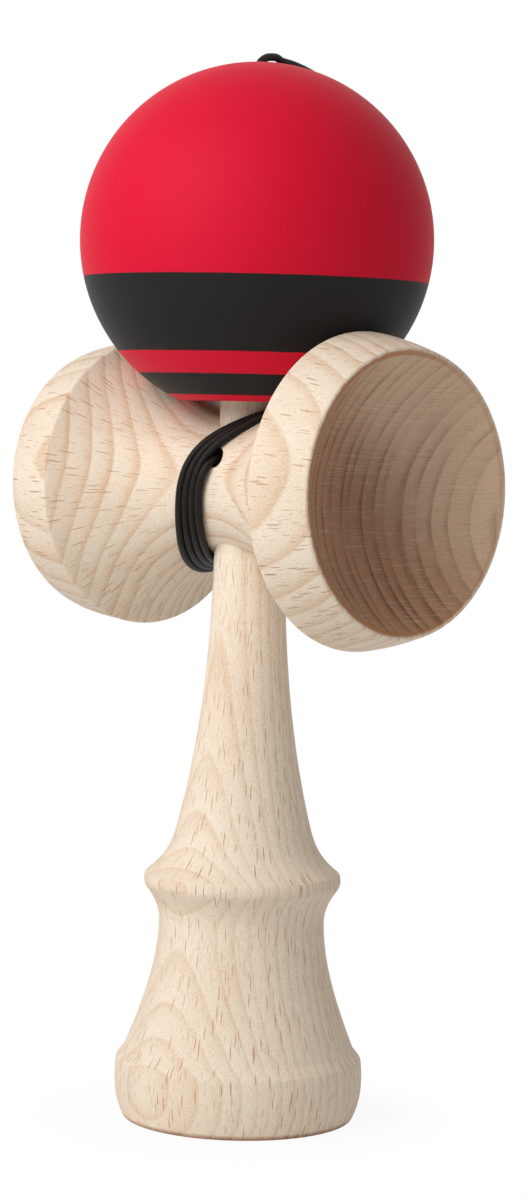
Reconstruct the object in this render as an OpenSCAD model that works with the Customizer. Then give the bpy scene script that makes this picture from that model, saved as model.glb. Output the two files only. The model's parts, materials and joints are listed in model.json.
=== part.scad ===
// Kendama: a turned handle (ken) with a cross-piece of two cups (sarado), a holed ball (tama)
// on its spike, and a cord wound round the waist of the cross-piece and led over the ball.
// The ken stands on its base rim at z = 0, +Z runs up the ken, +X points to the big cup.

/* [Ken base and bell] */
// Outer radius of the flat rim that the ken stands on
foot_r = 19.6; // [18.5:0.1:20.5]
// Inner radius of that rim, where the base cup begins
base_cup_mouth_r = 17.4; // [14:0.1:18]
// Radius of the hollow of the base cup
base_cup_r = 28; // [24:0.5:34]
// Height of the widest place of the base
belly_h = 7; // [4:0.1:10]
// Radius at the widest place of the base
belly_r = 21.25; // [20.6:0.05:24]
// Height from the widest place to the shoulder edge
shoulder_h = 3.4; // [2:0.1:5]
// Radius at the shoulder edge
shoulder_r = 21; // [20:0.05:22]
// Height of the sloping ledge above the shoulder edge
ledge_h = 1.6; // [1:0.1:3]
// Radius where the bell starts above the ledge
bell_r = 19.7; // [18:0.1:20]
// Height of the bell up to the slim grip
bell_h = 22; // [16:0.5:30]
// Radius at the slimmest place of the grip
grip_r = 14.15; // [12:0.05:16]

/* [Ken ring and neck] */
// Height of the cove from the grip up to the ring
cove_h = 5.5; // [4:0.1:8]
// Radius where the cove meets the ring
ring_foot_r = 16.3; // [15:0.1:16.8]
// Height from there to the crest of the ring
crest_h = 1.4; // [0.8:0.1:3]
// Radius at the crest of the ring
crest_r = 16.85; // [16.4:0.05:18]
// Height from the crest to the ring's sharp upper edge
ring_edge_h = 1.3; // [0.8:0.1:3]
// Radius at that upper edge
ring_edge_r = 16.65; // [16:0.05:17.5]
// Height of the cove above the ring
neck_cove_h = 8.8; // [6:0.1:12]
// Radius where the neck starts
neck_r = 11.25; // [10:0.05:13]
// Height of the tapering neck
neck_h = 41; // [30:0.5:50]
// Radius where the straight taper of the shaft starts
shaft_r = 6.18; // [5.9:0.02:7]
// Height of the shaft that carries the sarado
shaft_h = 28; // [26:0.5:34]

/* [Spike] */
// Radius at the foot of the spike
spike_r = 5.65; // [5:0.05:5.8]
// Height of the tapering spike
spike_h = 34; // [26:0.5:35]
// Radius where the rounded tip starts
tip_r = 3.1; // [2:0.1:4]
// Height of the rounded tip
tip_h = 4; // [2:0.1:5]

/* [Sarado] */
// Height of the sarado's axis above the foot of the shaft
sarado_rise = 16.3; // [15:0.1:18]
// Radius of the sarado at its waist
waist_r = 11.35; // [10.5:0.05:13]
// Radius at the sharp back edge of the big cup
big_edge_r = 26.4; // [24:0.1:29]
// Width of the big cup's rim band
big_band_w = 10.5; // [8:0.1:13]
// Outer radius of the big cup's lip
big_lip_r = 23.7; // [22:0.1:24]
// Radius at the sharp back edge of the small cup
small_edge_r = 24.9; // [23:0.1:28]
// Width of the small cup's rim band
small_band_w = 10.3; // [8:0.1:13]
// Outer radius of the small cup's lip
small_lip_r = 23.2; // [21:0.1:24]
// Width of the flat lip of both cups
lip_w = 0.9; // [0.5:0.1:2]
// Radius of the hollow of both cups
cup_r = 28; // [26:0.5:36]
// Radial clearance of the sarado's bore on the shaft
bore_clearance = 0.05; // [0.02:0.01:0.1]

/* [Tama] */
// Radius of the ball
ball_r = 30; // [28:0.5:34]
// Clearance of the ball in the saddle of the sarado
saddle_gap = 0.3; // [0.2:0.05:0.6]
// Radius of the hole's mouth, where its chamfer meets the ball
mouth_r = 12.3; // [11.8:0.1:14]
// Radius of the ball's hole
bore_r = 10.6; // [10:0.1:11.4]
// Clearance from the tip of the spike to the knot under the bead
tip_clearance = 2.1; // [1:0.1:4]
// Half angle of the drill point at the hole's end
drill_half_angle = 59; // [50:1:65]
// Radius of the string hole at the ball's top
ball_string_r = 2; // [1.8:0.1:2.6]
// Radius of the bead inside the ball
bead_r = 4; // [3.5:0.1:5]
// Radius of the bead's hole
bead_hole_r = 1; // [0.9:0.05:1.4]
// Running clearance of the bead in the drill point
bead_gap = 0.3; // [0.2:0.05:0.5]

/* [String] */
// Diameter of the string
cord_d = 1.1; // [1:0.05:1.15]
// Clearance of the string over wood and paint
cord_gap = 0.3; // [0.25:0.05:0.4]
// Spacing of the turns round the waist
turn_pitch = 1.45; // [1.44:0.01:1.48]
// Height of the string hole above the sarado's axis
string_hole_rise = 4.94; // [4.88:0.02:5]
// Turn of the string hole from the front towards the big cup, in degrees
string_hole_turn = 10.4; // [10:0.1:11]
// Radius of the string hole in the sarado
sarado_string_r = 1.9; // [1.8:0.1:2.4]
// Radius of the string hole in the ken
ken_string_r = 1.5; // [1.3:0.1:1.9]
// Radius of the knot's pocket at the back of the ken
pocket_r = 2.8; // [2.4:0.1:3.2]
// Depth of that pocket from the ken's axis to its floor
pocket_floor = 2; // [1:0.1:2.5]
// Radius of the knots
knot_r = 2.1; // [1.8:0.1:2.2]
// Length of the knots
knot_len = 3; // [2:0.1:3.2]

/* [Hidden] */
$fn = 96;

// Length by which every cut runs past the face that it opens
overrun = 1;
// Points along one rounded stretch of a turned profile
curve_steps = 10;
// Points along the saddle of the sarado
saddle_steps = 48;
// Points along the bulge of a knot
knot_steps = 8;

// Slopes of the ken's profile (radius gained per height) at the ends of its stretches
foot_slope_share = 0.55;
shoulder_slope_share = -0.16;
bell_slope_share = -0.4;
ring_foot_slope_share = 0.75;
ring_edge_slope_share = -0.3;
neck_cove_slope_share = -1.35;
neck_slope_share = -0.25;
shaft_slope_share = -0.03;
spike_slope_share = -0.03;
spike_end_slope_share = -0.12;
// Slopes of the rim bands at the back edge and at the lip
band_edge_slope_share = -0.15;
band_lip_slope_share = -0.36;

// Heights of the ken's knots, each one stacked on the one below
belly_z = belly_h;
shoulder_z = belly_z + shoulder_h;
bell_z = shoulder_z + ledge_h;
grip_z = bell_z + bell_h;
ring_foot_z = grip_z + cove_h;
crest_z = ring_foot_z + crest_h;
ring_edge_z = crest_z + ring_edge_h;
neck_z = ring_edge_z + neck_cove_h;
shaft_z = neck_z + neck_h;
spike_z = shaft_z + shaft_h;
tip_z = spike_z + spike_h;
ken_len = tip_z + tip_h;

// Sarado and ball: the saddle between the cups is an arc about the ball's centre
sarado_z = shaft_z + sarado_rise;
saddle_r = ball_r + saddle_gap;
ball_z = sarado_z + waist_r + saddle_r;
big_edge_x = saddle_x(big_edge_r);
small_edge_x = saddle_x(small_edge_r);
big_lip_x = big_edge_x + big_band_w;
small_lip_x = small_edge_x + small_band_w;
string_hole_z = sarado_z + string_hole_rise;

// Hole of the ball: the spike's tip sets the knot, the knot the bead, and the bead the drill point
mouth_h = sqrt(ball_r * ball_r - mouth_r * mouth_r);
bead_knot_h = ken_len + tip_clearance + knot_len - ball_z;
bead_h = bead_knot_h + bead_gap + sqrt(bead_r * bead_r - bead_hole_r * bead_hole_r);
drill_h = bore_r / tan(drill_half_angle);
bore_end_h = bead_h + (bead_r + bead_gap) / sin(drill_half_angle) - drill_h;

// Radius of the string and the height of its centre line over wood and paint
cord_r = cord_d / 2;
cord_lift = cord_r + cord_gap;

// Winding: the angle runs round the sarado's axis, 0 at the front and 90 on top
wind_start = asin(string_hole_rise / waist_r);
wind_in = 0.095;
wind_out = 3.458;
wind_mid = 1.75;
wind_rings = 24;
wind_sides = 6;
// Lean of the turns along the sarado, as harmonics of that angle
lean_cos = [-0.09, -2.28, 0.29, -0.68, 0.35];
lean_sin = [0, 8.4, -1.37, -1.22, 0.07];
// Lengths of the handles of the bends at the winding's two ends
bend_in = 4.7;
bend_out = 2.8;
bend_rings = 5;
// Distance from the ken's axis at which the winding takes over from the lead
lead_end = 6.6;

// Free stretch behind the ball: where it leaves the waist, and its direction
riser_start = [-4, 13.3, 107];
// Places on the ball, as azimuth and latitude, from behind up to the top
over_ball = [
    [100, -26], [99, -18], [98, -10], [97, -2], [96, 6], [94, 14], [92, 22], [90, 30],
    [88, 38], [86, 46], [84, 54], [82, 62], [81, 70], [80, 77], [80, 82]
];
// Places over the ball's top: distance from the axis, height over the ball's top
top_azimuth = 80;
top_bend = [[3.2, 1.05], [2.1, 1.1], [1.2, 0.95], [0.5, 0.6], [-0.1, 0.1]];
// Places in the ball's string hole: distance from the axis, share of the depth from the top to the bead
hole_sway = [
    [-0.5, 0.07], [-0.8, 0.16], [-0.9, 0.28], [-0.8, 0.46], [-0.5, 0.69], [-0.2, 0.85], [0, 0.98]
];
tube_sides = 8;

// Total of a list of numbers
function total(list, i = 0) = i < len(list) ? list[i] + total(list, i + 1) : 0;

// Vector of length 1
function unit(v) = v / norm(v);

// Half the width of the saddle at a given radius of the sarado
function saddle_x(r) = sqrt(saddle_r * saddle_r - pow(waist_r + saddle_r - r, 2));

// Radius of a turned profile between two knots [height, radius, slope below, slope above]
function knot_curve(a, b, t) =
    let (h = b[0] - a[0])
    [
        a[1] * (1 - 3 * t * t + 2 * t * t * t) + a[3] * h * (t - 2 * t * t + t * t * t)
            + b[1] * (3 * t * t - 2 * t * t * t) + b[2] * h * (t * t * t - t * t),
        a[0] + h * t
    ];

// Points [radius, height] of a turned profile: straight where a knot's last entry says so
function turned(knots) = [
    for (i = [0 : len(knots) - 2])
        let (steps = knots[i][4] ? 1 : curve_steps)
            for (s = [0 : steps - 1]) knot_curve(knots[i], knots[i + 1], s / steps)
];

// Point on a cubic curve with two handles
function cubic(a, b, c, d, t) =
    a * pow(1 - t, 3) + b * 3 * t * pow(1 - t, 2) + c * 3 * t * t * (1 - t) + d * pow(t, 3);

// Knots of the ken, from its foot to the start of its rounded tip
ken_knots = [
    [0, foot_r, 0, foot_slope_share, false],
    [belly_z, belly_r, 0, 0, false],
    [shoulder_z, shoulder_r, shoulder_slope_share, 0, true],
    [bell_z, bell_r, 0, bell_slope_share, false],
    [grip_z, grip_r, 0, 0, false],
    [ring_foot_z, ring_foot_r, ring_foot_slope_share, ring_foot_slope_share, false],
    [crest_z, crest_r, 0, 0, false],
    [ring_edge_z, ring_edge_r, ring_edge_slope_share, neck_cove_slope_share, false],
    [neck_z, neck_r, neck_slope_share, neck_slope_share, false],
    [shaft_z, shaft_r, shaft_slope_share, 0, true],
    [spike_z, spike_r, 0, spike_slope_share, false],
    [tip_z, tip_r, spike_end_slope_share, 0, true]
];

// Knots of a cup's rim band, from its back edge to its lip
function band_knots(edge_x, edge_r, lip_x, lip_r) = [
    [edge_x, edge_r, 0, band_edge_slope_share, false],
    [lip_x, lip_r, band_lip_slope_share, 0, true]
];

// Outline of the ken, with the rounded tip as a quarter of an ellipse
function ken_outline() = concat(
    [[0, 0]],
    turned(ken_knots),
    [for (s = [0 : curve_steps]) [tip_r * cos(90 * s / curve_steps), tip_z + tip_h * sin(90 * s / curve_steps)]]
);

// Rim band of one cup as outline points, ending in its lip
function band(edge_x, edge_r, lip_x, lip_r) =
    concat(turned(band_knots(edge_x, edge_r, lip_x, lip_r)), [[lip_r, lip_x]]);

// Points with their height turned over, in the opposite order
function flipped(points) = [for (i = [len(points) - 1 : -1 : 0]) [points[i][0], -points[i][1]]];

// Outline of the sarado along its axis: small cup, saddle, big cup
function sarado_outline() = concat(
    [[0, -small_lip_x]],
    flipped(band(small_edge_x, small_edge_r, small_lip_x, small_lip_r)),
    [
        for (s = [1 : saddle_steps - 1])
            let (
                low = asin(-small_edge_x / saddle_r),
                high = asin(big_edge_x / saddle_r),
                a = low + (high - low) * s / saddle_steps
            )
            [waist_r + saddle_r - saddle_r * cos(a), saddle_r * sin(a)]
    ],
    band(big_edge_x, big_edge_r, big_lip_x, big_lip_r),
    [[0, big_lip_x]]
);

// Distance from a hollow's mouth to the centre of the sphere that hollows it
function hollow_rise(sphere_r, mouth) = sqrt(sphere_r * sphere_r - mouth * mouth);

// Hollow of a cup: a sphere whose mouth lies in the plane z = 0, opening upwards
module hollow(sphere_r, mouth) {
    translate([0, 0, hollow_rise(sphere_r, mouth)]) sphere(sphere_r);
}

// Places its children on the string hole's axis, pointing out of the front of the waist
module along_string_hole() {
    translate([0, 0, string_hole_z]) rotate([90, 0, string_hole_turn]) children();
}

// Barrel of a pulled knot, from z = 0 upwards
module knot() {
    rotate_extrude()
        polygon(concat(
            [[0, 0]],
            [
                for (s = [0 : knot_steps])
                    [cord_r + (knot_r - cord_r) * sin(180 * s / knot_steps), knot_len * s / knot_steps]
            ],
            [[0, knot_len]]
        ));
}

// Frame carried along a route with no twist: the side vector that the last one turns into
function carried(side, tangent) = unit(side - tangent * (side * tangent));

// Tangent of a route at one of its points
function tangent_at(points, i) =
    let (last = len(points) - 1)
    i == 0 ? unit(points[1] - points[0])
        : i == last ? unit(points[last] - points[last - 1])
        : unit(unit(points[i + 1] - points[i]) + unit(points[i] - points[i - 1]));

// Any vector square to a tangent, and how steep that tangent may be to use the upright axis
steep_share = 0.8;
function square_to(t) = unit(abs(t[2]) < steep_share ? cross(t, [0, 0, 1]) : cross(t, [1, 0, 0]));

// Round tube along a route, closed at both ends
module tube(points, r, sides) {
    last = len(points) - 1;
    tangents = [for (i = [0 : last]) tangent_at(points, i)];
    frames = [
        for (
            i = 0, side = square_to(tangents[0]);
            i <= last;
            i = i + 1, side = i <= last ? carried(side, tangents[i]) : side
        ) side
    ];
    rings = [
        for (i = [0 : last])
            for (k = [0 : sides - 1])
                let (a = 360 * k / sides)
                points[i] + r * (cos(a) * frames[i] + sin(a) * cross(tangents[i], frames[i]))
    ];
    walls = [
        for (i = [0 : last - 1])
            for (k = [0 : sides - 1])
                let (
                    a = i * sides + k,
                    b = i * sides + (k + 1) % sides,
                    c = b + sides,
                    d = a + sides
                )
                each [[a, c, b], [a, d, c]]
    ];
    first_cap = [for (k = [1 : sides - 2]) [0, k, k + 1]];
    last_cap = [for (k = [1 : sides - 2]) [last * sides, last * sides + k + 1, last * sides + k]];
    polyhedron(rings, concat(walls, first_cap, last_cap));
}

// Lean of the turns at an angle round the waist, and how fast it changes
function lean(a) =
    total([for (k = [0 : len(lean_cos) - 1]) lean_cos[k] * cos(k * a) + lean_sin[k] * sin(k * a)]);
function lean_rate(a) =
    total([for (k = [0 : len(lean_cos) - 1]) k * (lean_sin[k] * cos(k * a) - lean_cos[k] * sin(k * a))]);

// Point of the winding after a number of turns, lifted square off the saddle
function lay(turns) =
    let (
        a = wind_start - 360 * turns,
        spread = sqrt(1 + pow(lean_rate(a) / (waist_r + cord_d), 2)),
        x = lean(a) - turn_pitch * (turns - wind_mid) * spread,
        tilt = asin(x / saddle_r),
        reach = waist_r + saddle_r - (saddle_r - cord_lift) * cos(tilt)
    )
    [(saddle_r - cord_lift) * sin(tilt), -reach * cos(a), sarado_z + reach * sin(a)];

// Direction of the winding after a number of turns
function lay_direction(turns) =
    let (step = 1 / wind_rings / bend_rings)
    unit(lay(turns + step) - lay(turns - step));

// Direction of the string hole out of the waist
hole_way = [sin(string_hole_turn), -cos(string_hole_turn), 0];
lead_mouth = hole_way * lead_end + [0, 0, string_hole_z];

// Places of the string on the ball, where its first stretch carries on the free one's direction
function on_ball(place) =
    let (r = ball_r + cord_lift)
    [r * cos(place[1]) * cos(place[0]), r * cos(place[1]) * sin(place[0]), ball_z + r * sin(place[1])];
function at_top(distance, h) = [distance * cos(top_azimuth), distance * sin(top_azimuth), ball_z + h];
riser_end = on_ball(over_ball[0]);
riser_way = unit(riser_end - riser_start);
ball_route = concat(
    [riser_end, riser_end + riser_way * cord_d],
    [for (i = [1 : len(over_ball) - 1]) on_ball(over_ball[i])],
    [for (place = top_bend) at_top(place[0], ball_r + place[1])],
    [for (place = hole_sway) at_top(place[0], ball_r - place[1] * (ball_r - bead_h - bead_r))],
    [at_top(0, bead_h), at_top(0, bead_knot_h)]
);

// Route of the winding: out of the string hole, round the waist, and up behind it
wind_count = ceil((wind_out - wind_in) * wind_rings);
wind_from = lead_mouth + hole_way * cord_d;
wind_to = riser_start - riser_way * cord_d;
winding_route = concat(
    [lead_mouth],
    [
        for (s = [0 : bend_rings - 1])
            cubic(wind_from, wind_from + hole_way * bend_in,
                lay(wind_in) - lay_direction(wind_in) * bend_in, lay(wind_in), s / bend_rings)
    ],
    [for (s = [0 : wind_count - 1]) lay(wind_in + (wind_out - wind_in) * s / wind_count)],
    [
        for (s = [0 : bend_rings])
            cubic(lay(wind_out), lay(wind_out) + lay_direction(wind_out) * bend_out,
                wind_to - riser_way * bend_out, wind_to, s / bend_rings)
    ],
    [riser_start]
);

// Least gap of the winding to itself, half a turn or more apart
function winding_gap(route) =
    min([
        for (i = [0 : len(route) - 1])
            for (k = [i + wind_rings / 2 : len(route) - 1]) norm(route[i] - route[k])
    ]) - cord_d;

// Length of a route
function route_length(route) = total([for (i = [1 : len(route) - 1]) norm(route[i] - route[i - 1])]);

echo(winding_gap = winding_gap(winding_route));
echo(winding_length = route_length(winding_route));
echo(over_ball_length = route_length(ball_route));
echo(riser_length = norm(riser_end - riser_start));

// Handle: base cup, bell, ring, neck, shaft and spike turned in one piece
module ken() {
    color("burlywood")
        difference() {
            rotate_extrude() polygon(ken_outline());
            mirror([0, 0, 1]) hollow(base_cup_r, base_cup_mouth_r);
            along_string_hole() cylinder(h = shaft_r + overrun, r = ken_string_r);
            along_string_hole()
                translate([0, 0, -pocket_floor]) cylinder(h = pocket_floor, r = ken_string_r);
            along_string_hole()
                translate([0, 0, -shaft_r - overrun])
                    cylinder(h = shaft_r + overrun - pocket_floor, r = pocket_r);
        }
}

// Cross-piece: a big and a small cup back to back on a waist, bored for the shaft
module sarado() {
    color("wheat")
        difference() {
            translate([0, 0, sarado_z])
                rotate([0, 90, 0])
                    difference() {
                        rotate_extrude() polygon(sarado_outline());
                        translate([0, 0, big_lip_x])
                            hollow(cup_r, big_lip_r - lip_w);
                        mirror([0, 0, 1])
                            translate([0, 0, small_lip_x])
                                hollow(cup_r, small_lip_r - lip_w);
                    }
            translate([0, 0, shaft_z])
                cylinder(h = shaft_h, r1 = shaft_r + bore_clearance, r2 = spike_r + bore_clearance);
            translate([0, 0, spike_z - overrun]) cylinder(h = waist_r, r = spike_r + bore_clearance);
            along_string_hole() cylinder(h = waist_r + overrun, r = sarado_string_r);
        }
}

// Ball with its chamfered hole, drill point and string hole
module tama() {
    color("crimson")
        translate([0, 0, ball_z])
            difference() {
                sphere(ball_r);
                translate([0, 0, -mouth_h])
                    cylinder(h = mouth_r - bore_r, r1 = mouth_r, r2 = bore_r);
                translate([0, 0, -ball_r - overrun])
                    cylinder(h = ball_r + overrun - mouth_h, r = mouth_r);
                translate([0, 0, -mouth_h]) cylinder(h = mouth_h + bore_end_h, r = bore_r);
                translate([0, 0, bore_end_h]) cylinder(h = drill_h, r1 = bore_r, r2 = 0);
                cylinder(h = ball_r + overrun, r = ball_string_r);
            }
}

// Bead in the drill point, on which the ball swivels
module bead() {
    color("peru")
        translate([0, 0, ball_z + bead_h])
            difference() {
                sphere(bead_r);
                translate([0, 0, -bead_r - overrun])
                    cylinder(h = 2 * (bead_r + overrun), r = bead_hole_r);
            }
}

// Knot in its pocket at the back of the ken
module ken_knot() {
    color("black")
        along_string_hole()
            translate([0, 0, -pocket_floor - cord_gap - knot_len]) knot();
}

// Knot under the bead
module bead_knot() {
    color("black") translate([0, 0, ball_z + bead_knot_h - knot_len]) knot();
}

// String from the ken's knot to the mouth of the sarado's string hole
module string_lead() {
    color("black")
        along_string_hole()
            translate([0, 0, -pocket_floor - cord_gap])
                cylinder(h = lead_end + pocket_floor + cord_gap, r = cord_r);
}

// String wound round the waist
module string_winding() {
    color("black") tube(winding_route, cord_r, wind_sides);
}

// Free stretch of string from the waist to the back of the ball
module string_riser() {
    color("black") tube([riser_start, riser_end], cord_r, tube_sides);
}

// String up the back of the ball, into its string hole and through the bead
module string_over_ball() {
    color("black") tube(ball_route, cord_r, tube_sides);
}

ken();
sarado();
tama();
bead();
ken_knot();
bead_knot();
string_lead();
string_winding();
string_riser();
string_over_ball();
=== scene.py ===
"""Kendama: a turned beech handle (ken) with a cross-piece of two cups (sarado), a painted ball (tama)
on the spike, and a black braided string wound round the waist and led over the ball."""

import json
import math
from collections import namedtuple

import bpy
from mathutils import Matrix, Vector


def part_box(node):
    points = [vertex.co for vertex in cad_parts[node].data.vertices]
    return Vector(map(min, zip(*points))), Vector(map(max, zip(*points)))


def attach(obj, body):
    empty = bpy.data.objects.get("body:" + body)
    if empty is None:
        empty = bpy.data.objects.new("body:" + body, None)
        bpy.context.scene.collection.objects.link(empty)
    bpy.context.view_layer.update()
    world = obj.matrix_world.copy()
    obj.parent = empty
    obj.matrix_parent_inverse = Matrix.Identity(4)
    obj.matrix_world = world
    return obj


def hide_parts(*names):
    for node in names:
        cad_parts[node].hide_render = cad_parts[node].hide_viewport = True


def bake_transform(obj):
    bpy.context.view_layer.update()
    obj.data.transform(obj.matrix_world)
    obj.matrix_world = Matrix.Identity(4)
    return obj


bl_info = {
    "name": "Kendama",
    "version": (1, 0, 0),
    "blender": (4, 5, 0),
    "location": "View3D > Sidebar > Kendama",
    "description": "Builds a kendama's pieces and finishes round its packed frame",
    "category": "Add Mesh",
}

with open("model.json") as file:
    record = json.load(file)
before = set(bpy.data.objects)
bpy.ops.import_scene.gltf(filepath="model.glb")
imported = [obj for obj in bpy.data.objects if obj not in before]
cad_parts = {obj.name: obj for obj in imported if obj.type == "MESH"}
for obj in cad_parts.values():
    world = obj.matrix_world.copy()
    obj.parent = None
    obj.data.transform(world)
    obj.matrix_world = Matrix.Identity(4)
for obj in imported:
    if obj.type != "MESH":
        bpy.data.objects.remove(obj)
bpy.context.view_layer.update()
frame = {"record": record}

MM = 0.001

# Turned profile of the ken in mm: height, radius, slope below, slope above, straight above, edge rounding
KEN_KNOTS = [
    (0, 19.6, 0, 0.55, False, 0.5),
    (7, 21.25, 0, 0, False, 0),
    (10.4, 21, -0.16, 0, True, 0.4),
    (12, 19.7, 0, -0.4, False, 0.3),
    (34, 14.15, 0, 0, False, 0),
    (39.5, 16.3, 0.75, 0.75, False, 0),
    (40.9, 16.85, 0, 0, False, 0),
    (42.2, 16.65, -0.3, -1.35, False, 0.35),
    (51, 11.25, -0.25, -0.25, False, 0),
    (92, 6.18, -0.03, 0, True, 0),
    (120, 5.65, 0, -0.03, False, 0),
    (154, 3.1, -0.12, 0, True, 0),
]
TIP_H = 4
BASE_CUP_R = 28
BASE_CUP_MOUTH_R = 17.4
BASE_MOUTH_ROUND = 0.4
STRETCH_STEPS = 10
SHAFT_FOOT = KEN_KNOTS[9]
SHAFT_TOP = KEN_KNOTS[10]

# Sarado in mm: back edge, rim band and lip of both cups
WAIST_R = 11.35
SADDLE_R = 30.3
BIG_CUP = {"edge_r": 26.4, "band_w": 10.5, "lip_r": 23.7}
SMALL_CUP = {"edge_r": 24.9, "band_w": 10.3, "lip_r": 23.2}
CUP_R = 28
LIP_W = 0.9
BAND_EDGE_SLOPE = -0.15
BAND_LIP_SLOPE = -0.36
SARADO_EDGE_ROUND = 0.4
LIP_ROUND = 0.35
BORE_CLEARANCE = 0.05
SADDLE_STEPS = 48
HOLLOW_STEPS = 20

# Hole of the ball and the bead in it, in mm
MOUTH_R = 12.3
BALL_BORE_R = 10.6
BALL_STRING_R = 2
BEAD_R = 4
BEAD_HOLE_R = 1
DRILL_HALF_ANGLE = math.radians(59)
RUNNING_GAP = 0.3
BALL_EDGE_ROUND = 0.5
BALL_STEPS = 72
BEAD_STEPS = 24
BEAD_SPIN_STEPS = 48

# String hole in the waist and the ken, in mm
STRING_HOLE_RISE = 4.94
STRING_HOLE_TURN = math.radians(10.4)
SARADO_STRING_R = 1.6
KEN_STRING_R = 1.5
POCKET_R = 2.8
POCKET_FLOOR = 2
KEN_STRING_DEPTH = 10
POCKET_DEPTH = 8
POCKET_OVERLAP = 0.5
DRILL_PAST = 1

# Route of the string in mm, turns and degrees, as the frame has it
CORD_LIFT = 0.85
TURN_PITCH = 1.45
STRAIGHT_RUN = 1.1
WIND_IN = 0.095
WIND_OUT = 3.458
WIND_MID = 1.75
LEAN_COS = [-0.09, -2.28, 0.29, -0.68, 0.35]
LEAN_SIN = [0, 8.4, -1.37, -1.22, 0.07]
BEND_IN = 4.7
BEND_OUT = 2.8
WINDING_STEPS = 900
FREE_STEPS = 8
BEND_IN_STEPS = 30
BEND_OUT_STEPS = 20
LEAD_START = -2.3
LEAD_END = 6.6
RISER_START = Vector((-4, 13.3, 107))
OVER_BALL = [
    (100, -26), (99, -18), (98, -10), (97, -2), (96, 6), (94, 14), (92, 22), (90, 30),
    (88, 38), (86, 46), (84, 54), (82, 62), (81, 70), (80, 77), (80, 82),
]
TOP_AZIMUTH = 80
TOP_BEND = [(3.2, 1.05), (2.1, 1.1), (1.2, 0.95), (0.5, 0.6), (-0.1, 0.1)]
HOLE_SWAY = [
    (-0.5, 0.07), (-0.8, 0.16), (-0.9, 0.28), (-0.8, 0.46), (-0.5, 0.69), (-0.2, 0.85), (0, 0.98),
]
KNOT_LEN = 3
KNOT_RING_R = 0.95
KNOT_LOOP_R = 0.45
KNOT_STEPS = 120
KNOT_CORD_SHARE = 0.9
TIP_CLEARANCE = 2.1

# Places that the frame gives, in mm
ball_joint = next(j for j in frame["record"]["behaviour"]["joints"] if j["name"] == "tama_spin")
BALL_Z = ball_joint["pos_m"][2] / MM
BALL_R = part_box("tama")[1][0] / MM
KEN_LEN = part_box("ken")[1][2] / MM
SARADO_Z = (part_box("sarado")[0][2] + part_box("sarado")[1][2]) / 2 / MM
BEAD_KNOT_H = KEN_LEN + TIP_CLEARANCE + KNOT_LEN - BALL_Z
BEAD_H = BEAD_KNOT_H + RUNNING_GAP + math.sqrt(BEAD_R**2 - BEAD_HOLE_R**2)
STRING_HOLE_Z = SARADO_Z + STRING_HOLE_RISE
HOLE_WAY = Vector((math.sin(STRING_HOLE_TURN), -math.cos(STRING_HOLE_TURN), 0))

# Beech: size of each pattern along, across and out of the grain in mm
SWAY_SIZE = (55, 16, 16)
CLOUD_SIZE = (38, 9, 9)
FIBRE_SIZE = (2.6, 0.16, 0.16)
SPECKLE_SIZE = (0.42, 0.24, 0.24)
WANDER_SIZE = (4, 3, 6)
CUT_RAY_SIZE = (3, 0.22, 7)
STRENGTH_SIZE = (30, 12)

# Flecks in the beech: width, length and depth of a cell in mm, and the distances where a fleck fades
LONG_FLECK = ((0.4, 7, 9), (0.24, 0.13))
SHORT_FLECK = ((0.3, 4, 6), (0.23, 0.12))
SHORT_FLECK_SHIFT = 40
LONG_FLECK_SHARE = 0.75
SHORT_FLECK_SHARE = 0.4

# Growth layers in the beech: shift by sway and by unevenness, in layers, and the rise of the late wood
SWAY_SHIFT = 0.7
UNEVEN_SHIFT = 0.8
UNEVEN_RATE = 0.9
UNEVEN_ROW = (3.7, 1.3)
STRENGTH_RATE = 0.7
LATE_POWER = 1.6
LATE_SLOW_SHARE = 0.5
LATE_FAST = (0.5, 0.95, 0.3)
LATE_EDGE = (1, 0.89)

# Marks on the beech: values between which a mark comes up, and its share of the colour there
FIBRE_MARK = (0.5, 0.85, 0.3)
DARK_SPECKLE = (0.52, 0.8, 0.27)
LIGHT_SPECKLE = (0.46, 0.2, 0.5)
LIGHT_CUT_RAY = (0.55, 0.8, 0.35)
DARK_CUT_RAY = (0.45, 0.2, 0.3)
# Painted shade deep in the cup hollows, near their bottom
HOLLOW_SHADE = (16, 2, 0.35)
RING_MARK = (0.34, 0.68, 1.1)
RING_LEAST = 0.3

# Shares of the other tones of the beech
CLOUD_FROM = 0.42
CLOUD_SHARE = 0.55
# Painted light on the cup hollows: how far it pales them, how much of their rings it fades, and the share of
# late wood in its pale tone
PAINTED_LIGHT_SHARE = 0.75
PAINTED_LIGHT_RING_LOSS = 0.55
PAINTED_LIGHT_LATE_SHARE = 0.45
WORN_SHARE = 0.85
# Painted shade on the wall of the string hole: its share, and its tone as a part of the end-line colour
HOLE_SHADE_SHARE = 0.9
HOLE_SHADE_TONE = 0.25
LIGHT_SPECKLE_TONE = (1, 0.95, 0.88, 1)
LAYER_SHARE = 0.9
LAYER_LEAST = 0.15
WANDER_CELLS = 0.5
WOOD_RELIEF = {"Strength": 0.12, "Distance": 0.0002}

# Share that the marks lose where fibres are cut across
END_SPECKLE_LOSS = 0.65
END_SHORT_LOSS = 0.7
END_LONG_LOSS = 0.6

# Ken's wood: place of its layers, colour contrast, and the radius in mm that its flecks are laid at
KEN_LAYER_SHIFT = 8.3
KEN_CONTRAST = 0.7
RING_Z = KEN_KNOTS[7][0]
BELL_FLECK_R = 14
NECK_FLECK_R = 8.5
FOOT_END_GRAIN = (1.2, 0.2)

# Sarado's wood: pith of the tree at y and z, distance of the first layer, and the same as above
PITH_Y = 70
PITH_Z = 98
FIRST_LAYER_R = 92.6
SARADO_CONTRAST = 1.15
SARADO_FLECK_R = 18
SARADO_ACROSS_SHIFT = 300
RAGGED_SIZE = 1.5
RAGGED_W = 0.5
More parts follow.
